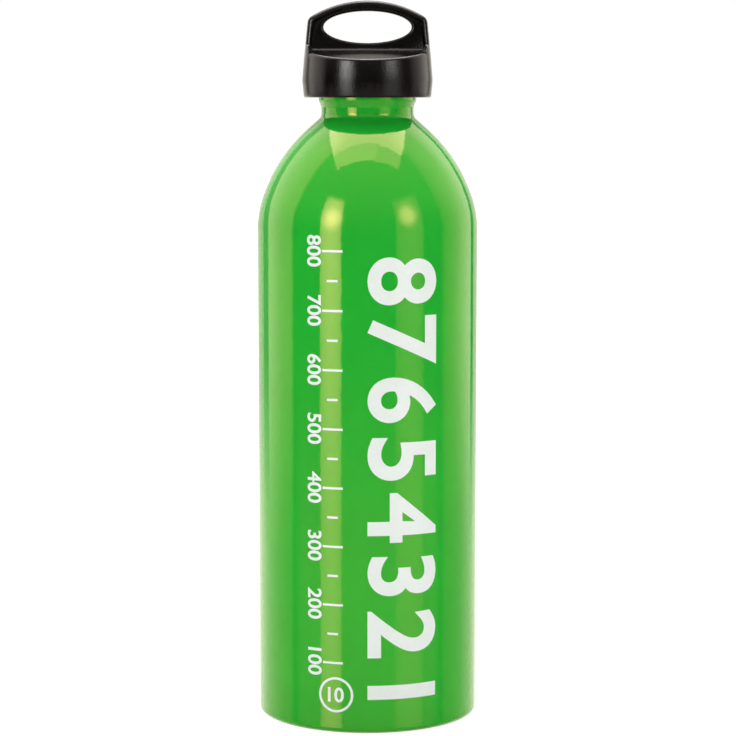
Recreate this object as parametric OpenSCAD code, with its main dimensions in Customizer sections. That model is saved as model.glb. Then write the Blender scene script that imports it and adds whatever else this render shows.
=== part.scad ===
// Camping fuel bottle: a drawn aluminium bottle with a push-and-turn loop cap.
// Millimetres, +Z up. The origin is the centre of the standing ring, on the ground.
// X runs along the loop handle, so the front of the bottle faces -Y.

/* [Bottle] */
// Outside diameter of the straight wall
body_d = 80; // [60:0.5:110]
// Height of the straight wall, from the ground to the start of the shoulder
wall_h = 177.8; // [80:0.1:260]
// Wall thickness of the side and the shoulder
wall_t = 1; // [0.6:0.05:2]
// Outer radius between the side wall and the standing ring
heel_r = 2; // [1:0.1:4]
// Width of the flat ring that the bottle stands on
ring_w = 3.2; // [1.5:0.1:8]
// Rise of the domed bottom at its centre
dome_h = 7; // [3:0.5:14]
// Thickness of the domed bottom
bottom_t = 1.6; // [0.8:0.1:3]

/* [Shoulder] */
// Radius of the first arc, where the straight wall turns in
shoulder_r = 35.8; // [15:0.1:60]
// Lean of the shoulder at the end of the first arc, in degrees from vertical
shoulder_turn = 19; // [10:0.5:35]
// Lean of the short cone under the neck, in degrees from vertical
cone_turn = 49; // [40:0.5:65]
// Length of that cone, measured along its slope
cone_len = 4.3; // [1:0.1:12]

/* [Neck] */
// Bore of the mouth, which is the major diameter of its thread
mouth_d = 28.4; // [20:0.1:36]
// Wall of the neck at its waist
neck_t = 2.5; // [1.5:0.1:5]
// Hollow radius between the cone and the waist
neck_fillet = 3; // [1:0.1:8]
// Straight height of the waist
waist_h = 1.7; // [0.5:0.1:6]
// Reach of the rolled bead beyond the waist
bead_reach = 1; // [0.6:0.1:5]
// Height of the bead, from the waist to the lip
bead_h = 7.8; // [5:0.1:14]
// Lean of the bead's lower flank, in degrees from vertical
bead_turn = 22; // [15:1:45]
// Rounding of the lip's outer edge
lip_r = 1.2; // [0.4:0.1:2]
// Bevel of the lip's inner edge
lip_bevel = 0.5; // [0.2:0.05:1]

/* [Seal and plug] */
// Radial width of the seal ring's section
seal_w = 2.5; // [1.5:0.1:4]
// Height of the seal ring's section, as it is squeezed
seal_h = 2; // [1:0.1:4]
// Radial clearance of the pilot under the flange, in the mouth and in the seal ring
pilot_gap = 0.3; // [0.1:0.05:0.6]
// Depth of the thread, which the plug's core leaves free in the mouth
thread_depth = 1.5; // [0.8:0.05:2]
// Length of the plug below its flange
plug_len = 16.9; // [10:0.1:30]
// Wall of the plug around the hollow in its lower end
plug_t = 2.5; // [1.5:0.1:4]
// Thickness of the plug's flange
flange_t = 2; // [1:0.1:4]
// Overlap of the flange and the retaining ring, which holds the plug in the cap
catch_w = 1.4; // [0.5:0.05:3]
// Depth of the spring's well in the flange
well_depth = 3.4; // [1.5:0.1:6]
// Thickness between the well and the hollow below it
well_floor = 1.8; // [1:0.1:4]

/* [Push-and-turn drive] */
// Travel of the cap when it is pushed down
push_travel = 1.8; // [1:0.1:4]
// Height by which the drive teeth clear each other at rest
dog_gap = 0.4; // [0.2:0.05:0.8]
// Clearance left over the tooth bottoms when the cap is pushed down
foot_gap = 0.1; // [0.05:0.05:0.3]
// Number of drive teeth on each side
dogs = 12; // [4:4:24]
// Share of the pitch that a tooth takes, where 0.5 would leave no play
dog_share = 0.4; // [0.25:0.01:0.45]
// Radial length of a plug tooth
dog_w = 4.6; // [2:0.1:8]
// Wire diameter of the return spring
wire_d = 1.2; // [0.6:0.1:2]
// Mean diameter of the return spring
coil_d = 14; // [10:0.5:17]
// Turns of the return spring
coil_turns = 4.5; // [3:0.5:6]
// Radial clearance inside and outside the return spring
coil_gap = 1; // [0.5:0.1:2]

/* [Retaining ring] */
// Radial clearance between the bead and the retaining ring
ring_gap = 0.9; // [0.3:0.1:2]
// Thickness of the retaining ring
ring_t = 1.6; // [0.8:0.1:3]
// Play between the flange and the retaining ring
hang_gap = 0.15; // [0.05:0.05:0.5]
// Interference that holds the retaining ring in the skirt
ring_press = 0.02; // [0.01:0.01:0.1]

/* [Cap skirt and deck] */
// Radial clearance between the flange and the skirt's bore
flange_gap = 0.8; // [0.3:0.1:2]
// Wall of the skirt where it is widest
skirt_t = 2.8; // [1.5:0.05:5]
// Height of the skirt's lower edge below the lip
skirt_drop = 4; // [0:0.1:10]
// Height above the lower edge where the skirt is widest
wide_h = 6.2; // [3:0.1:12]
// Narrowing of the skirt towards its lower edge, on the radius
skirt_draw = 0.55; // [0:0.05:1]
// Bevel of the skirt's lower corner
skirt_bevel = 0.4; // [0.1:0.1:1]
// Thickness of the deck at its front and back rims
deck_t = 2; // [1.5:0.1:5]
// Slope of the scooped deck on each side of the handle, in degrees
deck_slope = 10.5; // [4:0.5:20]
// Hollow radius at the foot of the handle's web
foot_r = 1.2; // [0.4:0.1:3]
// Radius of the scoop's rounded ends
scoop_r = 1.6; // [0.5:0.1:3]

/* [Handle] */
// Height of the handle's top above the deck's rims
handle_h = 21.25; // [14:0.05:40]
// Narrowing from the widest part of the skirt to the deck's rims, on the radius
deck_draw = 0.6; // [0:0.05:2]
// Lean of the handle's sides, in degrees from vertical
side_lean = 5.5; // [0:0.1:15]
// Radius of the handle's arched top
arch_r = 39.4; // [28:0.1:80]
// Radius of the handle's upper corners
corner_r = 3; // [2:0.1:6]
// Thickness of the handle at its rim
handle_t = 9; // [6:0.1:16]
// Rounding of the handle's outer edges
edge_r = 1.8; // [0.5:0.1:2.5]
// Thickness of the web inside the rim
web_t = 6.4; // [3:0.1:12]
// Width of the rim around the web
rim_w = 1.9; // [1:0.1:4]
// Width of the sloped wall between the rim and the web
rim_slope = 0.7; // [0.2:0.1:2]
// Width of the finger hole
hole_w = 31.8; // [20:0.1:36]
// Height of the finger hole
hole_h = 11.4; // [8:0.1:16]
// Height of the arch over the finger hole
arch_t = 3.8; // [2.5:0.1:8]
// Bevel of the finger hole's edges
hole_bevel = 0.6; // [0.2:0.1:1.2]
// Height of the handle's flared foot above the foot of the web
flare_h = 2.2; // [1:0.1:8]

/* [Hidden] */
$fn = 96;
green = [0.16, 0.62, 0.2];
black = [0.07, 0.07, 0.07];
grey = [0.3, 0.3, 0.31];
steel = [0.72, 0.73, 0.75];
rubber = [0.12, 0.12, 0.13];
more = 0.1; // a cutter's reach past the face that it opens

// Points of an arc about a centre, by the angle of its outward normal
function arc(c, r, a0, a1, n) = [for (i = [0:n]) let (a = a0 + (a1 - a0) * i / n) c + r * [cos(a), sin(a)]];

// Bottle: radii, and the heights that follow from the wall up to the lip
body_r = body_d / 2;
mouth_r = mouth_d / 2;
waist_r = mouth_r + neck_t;
bead_r = waist_r + bead_reach;
// first shoulder arc, then a slower one whose radius reaches the cone
arc1_c = [body_r - shoulder_r, wall_h];
cone_top_r = waist_r + neck_fillet * (1 - cos(cone_turn));
cone_low_r = cone_top_r + cone_len * sin(cone_turn);
arc1_end = arc1_c + shoulder_r * [cos(shoulder_turn), sin(shoulder_turn)];
slow_r = (arc1_end[0] - cone_low_r) / (cos(shoulder_turn) - cos(cone_turn));
arc2_c = arc1_end - slow_r * [cos(shoulder_turn), sin(shoulder_turn)];
cone_low = arc2_c + slow_r * [cos(cone_turn), sin(cone_turn)];
cone_top = cone_low + cone_len * [-sin(cone_turn), cos(cone_turn)];
waist_z = cone_top[1] + neck_fillet * sin(cone_turn);
bead_z = waist_z + waist_h;
lip_z = bead_z + bead_h;
// inner skin of the shoulder, up to where its cone meets the mouth's bore
cone_in = cone_low - wall_t * [cos(cone_turn), sin(cone_turn)];
throat_z = cone_in[1] + (cone_in[0] - mouth_r) / tan(cone_turn);
// domed bottom, a sphere cap inside the standing ring
dome_r = body_r - heel_r - ring_w;
sphere_r = (dome_r * dome_r + dome_h * dome_h) / (2 * dome_h);
dome_a = asin(dome_r / sphere_r);
inner_a = acos((sphere_r + bottom_t - dome_h) / (sphere_r + bottom_t));
inner_heel = max(0.2, heel_r - wall_t);
// flanks of the bead
bead_bow = 2;

// Plug and cap: radii outward from the mouth and the bead
pilot_r = mouth_r - pilot_gap;
core_r = mouth_r - thread_depth;
ring_in_r = bead_r + ring_gap;
flange_r = ring_in_r + catch_w;
bore_r = flange_r + flange_gap;
skirt_r = bore_r + skirt_t;
dog_out_r = flange_r - 0.7;
dog_in_r = dog_out_r - dog_w;
well_r = coil_d / 2 + wire_d / 2 + coil_gap;
post_r = coil_d / 2 - wire_d / 2 - coil_gap;

// Plug and cap: heights upward from the lip
flange_z = lip_z + seal_h;
flange_top = flange_z + flange_t;
plug_dog_h = push_travel - dog_gap + foot_gap;
shell_dog_h = plug_dog_h + foot_gap;
shell_dog_z = flange_top + plug_dog_h + dog_gap;
ceiling_z = shell_dog_z + shell_dog_h;
well_z = flange_top - well_depth;
plug_low = flange_z - plug_len;
ring_z = flange_z - hang_gap - ring_t;
skirt_z = lip_z - skirt_drop;
rim_z = ceiling_z + deck_t;
top_z = rim_z + handle_h;
deck_r = skirt_r - deck_draw;
web_z = rim_z + (deck_r - web_t / 2) * tan(deck_slope);
hole_z = top_z - arch_t - hole_h / 2;
core_top_r = dog_in_r - 1.8;
core_top_z = rim_z + (deck_r - core_top_r) * tan(deck_slope) - deck_t * 0.75;

// Right half of the cap's outline, drawn in by d all round, from the deck up to the top
arch_c = [0, top_z - arch_r];
side_n = [cos(side_lean), sin(side_lean)];
side_u = [-sin(side_lean), cos(side_lean)];
corner_q = [deck_r, rim_z] - corner_r * side_n - arch_c;
corner_s = sqrt(pow(corner_q * side_u, 2) - corner_q * corner_q + pow(arch_r - corner_r, 2)) - corner_q * side_u;
corner_c = arch_c + corner_q + corner_s * side_u;
corner_a = atan2(corner_c[1] - arch_c[1], corner_c[0] - arch_c[0]);
function half_outline(d, n) = concat(
    [[deck_r, rim_z] - d * side_n],
    arc(corner_c, corner_r - d, side_lean, corner_a, 5),
    [for (i = [1:n]) let (a = corner_a + (90 - corner_a) * i / n) arch_c + (arch_r - d) * [cos(a), sin(a)]]);
function mirrored(p) = [for (i = [len(p) - 1:-1:0]) [-p[i][0], p[i][1]]];
function outline(d, low) = let (h = half_outline(d, 10), l = [[h[0][0], low]])
    concat(l, h, mirrored(concat(l, [for (i = [0:len(h) - 2]) h[i]])));

// Height of the scooped deck at a distance from the cap's middle plane
function deck_z(y) = rim_z + (deck_r - y) * tan(deck_slope);

// One-piece bottle: domed bottom, straight wall, shoulder, neck and rolled bead
module bottle_body() {
    color(green)
    rotate_extrude() polygon(concat(
        // outside, from the middle of the bottom to the wall
        arc([0, dome_h - sphere_r], sphere_r, 90, 90 - dome_a, 8),
        arc([body_r - heel_r, heel_r], heel_r, -90, 0, 6),
        arc(arc1_c, shoulder_r, 0, shoulder_turn, 6),
        [for (p = arc(arc2_c, slow_r, shoulder_turn, cone_turn, 10)) if (p[1] > arc1_end[1] + 0.01) p],
        // hollow into the waist, then out again over the bead
        arc([waist_r + neck_fillet, waist_z], neck_fillet, 180 + cone_turn, 180, 6),
        arc([waist_r + bead_bow, bead_z], bead_bow, 180, 180 - bead_turn, 3),
        arc([bead_r - bead_bow, bead_z + bead_bow * 2 * sin(bead_turn)
            + (bead_reach - 2 * bead_bow * (1 - cos(bead_turn))) / tan(bead_turn)], bead_bow, -bead_turn, 0, 3),
        arc([bead_r - lip_r, lip_z - lip_r], lip_r, 0, 90, 5),
        // inside, down the mouth to the bottom
        [[mouth_r + lip_bevel, lip_z], [mouth_r, lip_z - lip_bevel], [mouth_r, throat_z]],
        arc(arc2_c, slow_r - wall_t, cone_turn, shoulder_turn, 10),
        [for (p = arc(arc1_c, shoulder_r - wall_t, shoulder_turn, 0, 6)) if (p[1] < arc1_end[1] - wall_t) p],
        arc([body_r - wall_t - inner_heel, bottom_t + inner_heel], inner_heel, 0, -90, 4),
        arc([0, dome_h - sphere_r], sphere_r + bottom_t, 90 - inner_a, 90, 8)));
}

// Seal ring between the flange and the lip, with its squeezed section
module seal_ring() {
    flat = seal_w * 0.28;
    mid = mouth_r + seal_w / 2;
    color(rubber)
    rotate_extrude() polygon(concat(
        [for (s = [[1, -90], [-1, 90]]) for (i = [0:6])
            let (a = s[1] + 180 * i / 6)
            [mid + s[0] * flat + (seal_w / 2 - flat) * cos(a), flange_z - seal_h / 2 + seal_h / 2 * sin(a)]]));
}

// A ring of drive teeth between two heights, each tooth centred on its pitch plus a turn
module teeth(r0, r1, z0, z1, turn) {
    pitch = 360 / dogs;
    half = pitch * dog_share / 2;
    for (i = [0:dogs - 1])
        rotate([0, 0, i * pitch + turn])
        translate([0, 0, z0])
        linear_extrude(z1 - z0)
        polygon([[r0 * cos(half), -r0 * sin(half)], [r1 * cos(half), -r1 * sin(half)], [r1, 0],
            [r1 * cos(half), r1 * sin(half)], [r0 * cos(half), r0 * sin(half)]]);
}

// Threaded stopper: core, pilot, flange, spring well and drive teeth
module plug() {
    lead = 1;
    color(grey)
    union() {
        rotate_extrude() polygon([
            [0, well_z - well_floor], [core_r - plug_t, well_z - well_floor], [core_r - plug_t, plug_low],
            [core_r - lead, plug_low], [core_r, plug_low + lead], [core_r, lip_z - pilot_gap * 4],
            [pilot_r, lip_z - pilot_gap * 3], [pilot_r, flange_z], [flange_r - 0.3, flange_z],
            [flange_r, flange_z + 0.3], [flange_r, flange_top - 0.4], [flange_r - 0.4, flange_top],
            [well_r + 0.4, flange_top], [well_r, flange_top - 0.4], [well_r, well_z], [0, well_z]]);
        teeth(dog_in_r, dog_out_r, flange_top - 0.2, flange_top + plug_dog_h, 0);
    }
}

// Return spring: one unbroken round wire, with its ends at the well and at the cap
coil_low = well_z + wire_d / 2;
coil_high = core_top_z - wire_d / 2;
coil_rings = ceil(coil_turns * 24);
coil_sides = 6;
function coil_point(t) = [coil_d / 2 * cos(360 * coil_turns * t), coil_d / 2 * sin(360 * coil_turns * t),
    coil_low + (coil_high - coil_low) * t];
function coil_ring(t) = let (a = 360 * coil_turns * t, c = coil_point(t))
    [for (j = [0:coil_sides - 1]) let (b = 360 * j / coil_sides)
        c + wire_d / 2 * [cos(b) * cos(a), cos(b) * sin(a), sin(b)]];
module return_spring() {
    points = [for (i = [0:coil_rings]) each coil_ring(i / coil_rings)];
    n = coil_sides;
    last = coil_rings * n;
    sides = [for (i = [0:coil_rings - 1]) for (j = [0:n - 1])
        let (k = (j + 1) % n) each [[i * n + j, i * n + n + j, i * n + n + k], [i * n + j, i * n + n + k, i * n + k]]];
    low = [for (j = [1:n - 2]) [0, j, j + 1]];
    high = [for (j = [1:n - 2]) [last, last + j + 1, last + j]];
    echo("least gap between turns", (coil_high - coil_low) / coil_turns - wire_d);
    color(steel) polyhedron(points = points, faces = concat(sides, low, high));
}

// Ring pressed into the skirt under the flange, so that the plug stays in the cap
module retaining_ring() {
    out_r = bore_r + ring_press;
    color(black)
    rotate_extrude() polygon([
        [ring_in_r, ring_z + 0.4], [ring_in_r + 0.4, ring_z], [out_r - 0.3, ring_z], [out_r, ring_z + 0.3],
        [out_r, ring_z + ring_t], [ring_in_r, ring_z + ring_t]]);
}

// Half of the side view above the deck, from the handle's face out over the flared foot
function flare(t) = let (a = [handle_t / 2, web_z + flare_h], b = [handle_t / 2, web_z + flare_h * 0.3],
    c = [deck_r * 0.55, deck_z(deck_r * 0.55)], d = [deck_r + 1, deck_z(deck_r + 1)])
    pow(1 - t, 3) * a + 3 * t * pow(1 - t, 2) * b + 3 * t * t * (1 - t) * c + pow(t, 3) * d;

// Solid of the cap under its flared deck, across the whole width
module cap_base() {
    right = concat([[deck_r + 1, skirt_z - 1]], [for (i = [12:-1:0]) flare(i / 12)]);
    rotate([90, 0, 90]) linear_extrude(4 * skirt_r, center = true) polygon(concat(right, mirrored(right)));
}

// Handle plate with rounded outer edges
module handle_plate() {
    hull()
    for (i = [0:4], s = [-1, 1]) let (a = 22.5 * i, d = edge_r * (1 - cos(a)))
        translate([0, s * (handle_t / 2 - edge_r + edge_r * sin(a)), 0])
        rotate([90, 0, 0]) linear_extrude(0.01, center = true) polygon(outline(d, ceiling_z + 0.5));
}

// Recess that leaves the rim standing around the web, on the front
module web_recess() {
    hull() {
        translate([0, -web_t / 2, 0]) rotate([90, 0, 0]) linear_extrude(0.01) polygon(outline(rim_w + rim_slope, web_z));
        translate([0, -handle_t / 2 - more, 0]) rotate([90, 0, 0]) linear_extrude(0.01) polygon(outline(rim_w, web_z));
    }
}

// Scoop of the deck in front of the web, with rounded ends and a hollow foot
module deck_scoop() {
    half = deck_r - rim_w - 0.3;
    foot = arc([web_t / 2 + foot_r, deck_z(web_t / 2 + foot_r) + foot_r], foot_r, 180, 270, 4);
    intersection() {
        // side view of the scoop
        rotate([90, 0, 90]) linear_extrude(2 * deck_r, center = true)
            polygon([for (p = concat(foot, [[deck_r + 2, deck_z(deck_r + 2)], [deck_r + 2, top_z],
                [handle_t / 2, top_z], [handle_t / 2, web_z + foot_r + 0.4], [web_t / 2, web_z + foot_r + 0.4]])) [-p[0], p[1]]]);
        // rounded ends, along the slope of the deck
        translate([0, 0, deck_z(0)]) rotate([90 + deck_slope, 0, 0]) linear_extrude(2 * deck_r)
            polygon(concat(
                arc([half - scoop_r, scoop_r], scoop_r, -90, 0, 5), [[half, handle_h], [-half, handle_h]],
                arc([-half + scoop_r, scoop_r], scoop_r, 180, 270, 5)));
    }
}

// Finger hole with bevelled edges
module finger_hole() {
    function oval(d) = [for (i = [0:63]) let (a = 360 * i / 64) [(hole_w / 2 + d) * cos(a), hole_z + (hole_h / 2 + d) * sin(a)]];
    rotate([90, 0, 0]) linear_extrude(2 * handle_t, center = true) polygon(oval(0));
    for (s = [-1, 1]) hull() {
        translate([0, s * (web_t / 2 - hole_bevel), 0]) rotate([90, 0, 0]) linear_extrude(0.01, center = true) polygon(oval(0));
        translate([0, s * (web_t / 2 + more), 0]) rotate([90, 0, 0]) linear_extrude(0.01, center = true)
            polygon(oval(hole_bevel + more));
    }
}

// Moulded shell of the cap: skirt, scooped deck, loop handle and drive teeth inside
module cap_shell() {
    color(black)
    union() {
        difference() {
            intersection() {
                // body of revolution under the handle's outline
                rotate_extrude() polygon(concat(
                    [[0, skirt_z], [skirt_r - skirt_draw - skirt_bevel, skirt_z],
                        [skirt_r - skirt_draw, skirt_z + skirt_bevel], [skirt_r, skirt_z + wide_h]],
                    half_outline(0, 10)));
                union() { cap_base(); handle_plate(); }
            }
            for (m = [0, 1]) mirror([0, m, 0]) { web_recess(); deck_scoop(); }
            finger_hole();
            // room for the retaining ring, the plug and the spring
            rotate_extrude() polygon([
                [0, skirt_z - more], [bore_r + 0.4, skirt_z - more], [bore_r + 0.4, skirt_z + 0.6],
                [bore_r, skirt_z + 1], [bore_r, ceiling_z], [core_top_r + 0.6, ceiling_z],
                [core_top_r, core_top_z], [0, core_top_z]]);
        }
        teeth(dog_in_r, bore_r + 0.3, shell_dog_z, ceiling_z + 0.2, 180 / dogs);
        // post that keeps the spring upright
        translate([0, 0, well_z + push_travel + 0.8]) cylinder(r = post_r, h = core_top_z - well_z - push_travel - 0.3);
    }
}

bottle_body();
seal_ring();
plug();
return_spring();
retaining_ring();
cap_shell();
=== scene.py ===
"""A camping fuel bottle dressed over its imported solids: body, threads, measuring scale, cap and studio."""

import math

import bmesh
import bpy
from mathutils import Matrix, Vector


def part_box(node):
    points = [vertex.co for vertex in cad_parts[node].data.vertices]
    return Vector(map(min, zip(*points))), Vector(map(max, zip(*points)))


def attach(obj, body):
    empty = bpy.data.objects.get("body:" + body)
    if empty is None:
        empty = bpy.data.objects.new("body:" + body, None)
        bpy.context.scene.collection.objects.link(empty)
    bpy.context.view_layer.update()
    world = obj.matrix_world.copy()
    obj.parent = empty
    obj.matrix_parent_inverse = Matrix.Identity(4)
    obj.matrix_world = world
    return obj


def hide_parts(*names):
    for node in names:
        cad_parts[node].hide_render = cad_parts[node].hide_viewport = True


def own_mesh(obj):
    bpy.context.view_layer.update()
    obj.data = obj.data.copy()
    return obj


bl_info = {
    "name": "Camping Fuel Bottle",
    "version": (1, 0, 0),
    "blender": (4, 5, 0),
    "location": "View3D > Sidebar > Fuel Bottle",
    "description": "Builds the visible pieces, the finishes and the studio of a camping fuel bottle",
    "category": "Object",
}

MM = 0.001
FULL_TURN = 2 * math.pi
# bearing of the back from the front, in degrees
BACK = 180.0
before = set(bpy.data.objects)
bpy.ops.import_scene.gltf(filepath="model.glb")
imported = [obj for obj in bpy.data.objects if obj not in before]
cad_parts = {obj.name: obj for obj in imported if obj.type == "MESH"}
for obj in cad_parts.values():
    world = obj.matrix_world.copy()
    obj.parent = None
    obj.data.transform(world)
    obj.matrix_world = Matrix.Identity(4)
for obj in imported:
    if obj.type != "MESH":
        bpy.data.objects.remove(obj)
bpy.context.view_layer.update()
BODY_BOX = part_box("bottle_body")
PLUG_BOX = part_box("plug")
SPRING_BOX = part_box("return_spring")

# the threads, in millimetres: starts above the throat and above the plug's foot, reach of a ridge into its
# wall, how much smaller in radius the plug's core is, and the share of a ridge that fades at either end
NECK_START = 0.6
PLUG_START = 2.6
RIDGE_SUNK = 0.1
PLUG_CORE = 1.5
RIDGE_FADE = 0.06
# rounding of the edges, in millimetres
RING_EDGE = 0.1
PLUG_EDGE = 0.12
SEAL_EDGE = 0.02
LEDGE_EDGE = 0.25
# roughness of the moulded gloss and strength of its grain
CAP_GLOSS = (0.17, 0.5)
PLUG_GLOSS = (0.42, 0.15)
# height of the figure in the ring as a share of the ring's radius
BADGE_SHARE = 0.85
# a litre in cubic millimetres and in millilitres
LITRE = 1e6
MILLILITRES = 1000
# in millimetres: how far inside the wall the domed bottom starts, and the least inner radius of the heel
DOME_INSET = 3.0
LEAST_HEEL = 0.2
# creases sharper than this, in degrees, stay sharp on the moulded pieces
MOULDED_SHARP = 32.0


# sizes and colours


def number_of(name, description, default):
    """A property that holds a plain number."""
    return bpy.props.FloatProperty(name=name, description=description, default=default)


def metres_of(name, description, default):
    """A property that holds a length in metres."""
    return bpy.props.FloatProperty(name=name, description=description, default=default, unit="LENGTH")


def angle_of(name, description, degrees):
    """A property that holds an angle, given in degrees."""
    return bpy.props.FloatProperty(
        name=name, description=description, default=math.radians(degrees), subtype="ANGLE")


def count_of(name, description, default, least=1):
    """A property that holds a whole number."""
    return bpy.props.IntProperty(name=name, description=description, default=default, min=least)


def colour_of(name, description, default):
    """A property that holds a colour."""
    return bpy.props.FloatVectorProperty(
        name=name, description=description, default=default, subtype="COLOR", size=3)


class BottleSizes(bpy.types.PropertyGroup):
    """Sizes of the bottle's profile in millimetres, from the ground up to the lip"""

    wall_height: number_of("Wall height", "Height of the wall up to the shoulder", 177.8)
    wall: number_of("Wall", "Thickness of the drawn wall", 1.0)
    heel: number_of("Heel radius", "Outer radius at the foot of the wall", 2.0)
    ring: number_of("Ring width", "Width of the flat ring that it stands on", 3.2)
    dome: number_of("Dome rise", "Rise of the domed bottom at its centre", 7.0)
    bottom: number_of("Bottom thickness", "Thickness of the domed bottom", 1.6)
    shoulder: number_of("Shoulder radius", "Radius of the shoulder's first arc", 35.8)
    shoulder_turn: number_of("Shoulder turn", "Lean at the end of the first arc, in degrees", 19.0)
    cone_turn: number_of("Cone turn", "Lean of the cone under the neck, in degrees", 49.0)
    cone: number_of("Cone length", "Length of the cone along its slope", 4.3)
    mouth: number_of("Mouth", "Bore of the mouth, its thread's major diameter", 28.4)
    neck: number_of("Neck wall", "Wall of the neck at its waist", 2.5)
    fillet: number_of("Neck fillet", "Hollow radius from the cone to the waist", 3.0)
    waist: number_of("Waist height", "Straight height of the waist", 1.7)
    bead: number_of("Bead reach", "Reach of the rolled bead beyond the waist", 1.0)
    bead_height: number_of("Bead height", "Height of the bead up to the lip", 7.8)
    bead_turn: number_of("Bead flank", "Lean of the bead's flank, in degrees", 22.0)
    bead_bow: number_of("Bead bow", "Radius at both ends of the bead's flank", 2.0)
    lip: number_of("Lip rounding", "Rounding of the lip's outer edge", 1.2)
    bevel: number_of("Lip bevel", "Bevel of the lip's inner edge", 0.5)
    segments: count_of("Segments", "Faces around the bottle", 256, 32)
    lacquer: colour_of("Lacquer", "Colour of the gloss lacquer", (0.014, 0.392, 0.030))
    metal: colour_of("Bare metal", "Colour of the aluminium inside", (0.60, 0.61, 0.62))


class ThreadSizes(bpy.types.PropertyGroup):
    """Sizes of the thread in the mouth and on the plug, in millimetres"""

    lead: number_of("Lead", "Rise of the thread in one turn", 4.0)
    depth: number_of("Depth", "Height of a ridge", 1.2)
    foot: number_of("Foot width", "Width of a ridge at its foot", 2.1)
    crest: number_of("Crest width", "Width of a ridge at its crest", 0.9)
    neck_turns: number_of("Turns in the mouth", "Turns of the mouth's thread", 1.9)
    plug_turns: number_of("Turns on the plug", "Turns of the plug's thread", 2.4)


class SpringSizes(bpy.types.PropertyGroup):
    """Sizes of the return spring, in millimetres"""

    wire: number_of("Wire", "Diameter of the wire", 1.2)
    coil: number_of("Coil", "Mean diameter of the coil", 14.0)
    turns: number_of("Turns", "Number of turns", 4.5)
    travel: number_of("Travel", "How far the cap presses the spring together", 1.8)
    sides: count_of("Sides", "Faces around the wire", 16, 3)
    steps: count_of("Steps", "Faces along a turn of the wire", 48, 8)


class PrintSizes(bpy.types.PropertyGroup):
    """Sizes of the white measuring scale in millimetres, and its bearings from the front"""

    steps: count_of("Steps", "Number of steps of the scale", 8, 2)
    litres: number_of("Step", "Volume of one step, in litres", 0.1)
    digit: number_of("Large figures", "Height of the large figures", 26.0)
    digit_turn: angle_of("Large figures, bearing", "Bearing of the large figures", 18.6)
    small: number_of("Small figures", "Height of the small figures", 5.6)
    small_turn: angle_of("Small figures, bearing", "Bearing of the small figures", -28.0)
    bold: number_of("Boldness", "How far a figure's strokes are widened, as a share of its height", 0.03)
    tick: number_of("Tick thickness", "Thickness of a tick", 0.8)
    tick_turn: angle_of("Ticks, bearing", "Bearing of the ticks' left ends", -18.0)
    tick_short: number_of("Short tick", "Length of the ticks at the half steps", 4.0)
    tick_long: number_of("Long tick", "Length of the ticks at the whole steps", 7.5)
    badge: number_of("Ring radius", "Outer radius of the ring at the foot", 6.4)
    badge_line: number_of("Ring line", "Thickness of the ring's line", 0.9)
    badge_height: number_of("Ring height", "Height of the ring's middle", 14.0)
    badge_turn: angle_of("Ring bearing", "Bearing of the ring's middle", -16.4)
    badge_figure: count_of("Ring figure", "Figure in the ring, the volume in tenths of a litre", 10)
    proud: number_of("Film", "Height of the printed film over the lacquer", 0.03)
    ink: colour_of("Ink", "Colour of the white print", (0.72, 0.78, 0.76))


class CapLooks(bpy.types.PropertyGroup):
    """Edges in millimetres and colours of the cap and its inner pieces"""

    edge: number_of("Edge rounding", "Rounding of the cap's moulded edges", 0.35)
    rim: number_of("Rim rounding", "Rounding of the edge between the skirt and the deck", 1.4)
    rim_height: number_of("Rim height", "Height of that edge in front", 238.852)
    rim_radius: number_of("Rim radius", "Distance of that edge from the axis", 23.0)
    rim_end: angle_of("Rim end", "Bearing at which its rounding runs out", 68.0)
    deck_slope: angle_of("Deck slope", "Rise of the deck towards the handle", 10.5)
    skirt_flare: angle_of("Skirt flare", "Lean of the skirt under the rim", 4.7)
    ledge: number_of("Ledge", "Height of the ledge along the web's foot", 1.15)
    ledge_height: number_of("Ledge height", "Height of the ledge's middle", 242.6)
    ledge_length: number_of("Ledge length", "Length of the ledge", 40.6)
    ledge_start: number_of("Ledge start", "Distance of the ledge's top from the middle of the web", 3.15)
    ledge_lean: angle_of("Ledge lean", "How far the ledge's face looks up", 42.0)
    black: colour_of("Cap", "Colour of the moulded cap", (0.0030, 0.0024, 0.0023))
    grey: colour_of("Plug", "Colour of the plug", (0.045, 0.045, 0.048))
    rubber: colour_of("Seal", "Colour of the seal ring", (0.018, 0.018, 0.019))
    steel: colour_of("Spring", "Colour of the spring wire", (0.55, 0.55, 0.57))


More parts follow.
